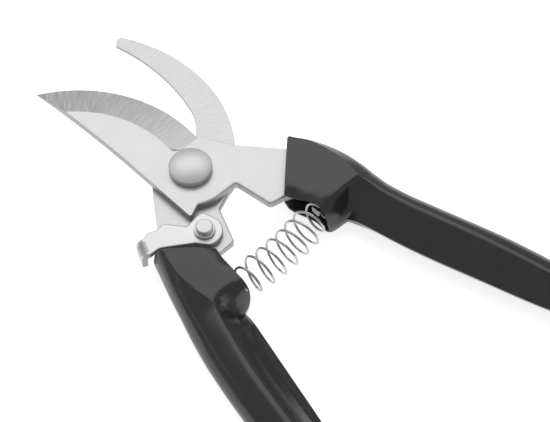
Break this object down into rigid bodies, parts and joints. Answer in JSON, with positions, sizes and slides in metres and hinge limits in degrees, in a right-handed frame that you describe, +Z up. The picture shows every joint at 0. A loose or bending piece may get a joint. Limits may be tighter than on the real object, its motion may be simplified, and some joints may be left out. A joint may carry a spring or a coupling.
{
  "type": "bypass pruning shears",
  "caption": "Hand pruning shears, open: a ground blade on a long grip pivots past a curved counter-blade, with a coil return spring and a thumb latch.",
  "frame": {"origin": "middle of the open shears' footprint, on the surface they lie on", "axes": "+Z up, square to the plates; +Y from the grips towards the jaws; +X towards the cutting blade's grip"},
  "size_m": [0.1274, 0.2076, 0.0171],
  "materials": {
    "counter_blade_steel": "stamped stainless plate, cross-brushed",
    "cutting_blade_steel": "satin stainless plate with a coarser ground bevel",
    "latch_steel": "bent sheet steel, satin",
    "rivet_steel": "turned and tumbled steel, satin",
    "spring_wire": "bright drawn spring wire",
    "grip_plastic": "black moulded plastic, satin gloss"
  },
  "bodies": {
    "hook_half": {"counter_blade": "counter_blade_steel", "hook_grip": "grip_plastic", "pivot_rivet": "rivet_steel", "pivot_washer": "rivet_steel", "latch_washer": "rivet_steel", "latch_rivet": "rivet_steel", "return_spring": "spring_wire"},
    "blade_half": {"cutting_blade": "cutting_blade_steel", "blade_grip": "grip_plastic"},
    "latch": {"latch_lever": "latch_steel"}
  },
  "joints": [
    {"name": "pivot", "type": "hinge", "parent": "hook_half", "child": "blade_half", "pos_m": [-0.00244, 0.03515, 0.0086], "axis": [0, 0, 1], "range_deg": [-33, 0], "stiffness_Nm_per_rad": 1.8, "springref_deg": 11.46, "deforming": ["return_spring"]},
    {"name": "latch_swing", "type": "hinge", "parent": "hook_half", "child": "latch", "pos_m": [-0.01674, 0.01265, 0.0086], "axis": [0, 0, 1], "range_deg": [-23.1, 0]}
  ],
  "couplings": [
    {"joint": "latch_swing", "follows": "pivot", "ratio": 0.7}
  ]
}
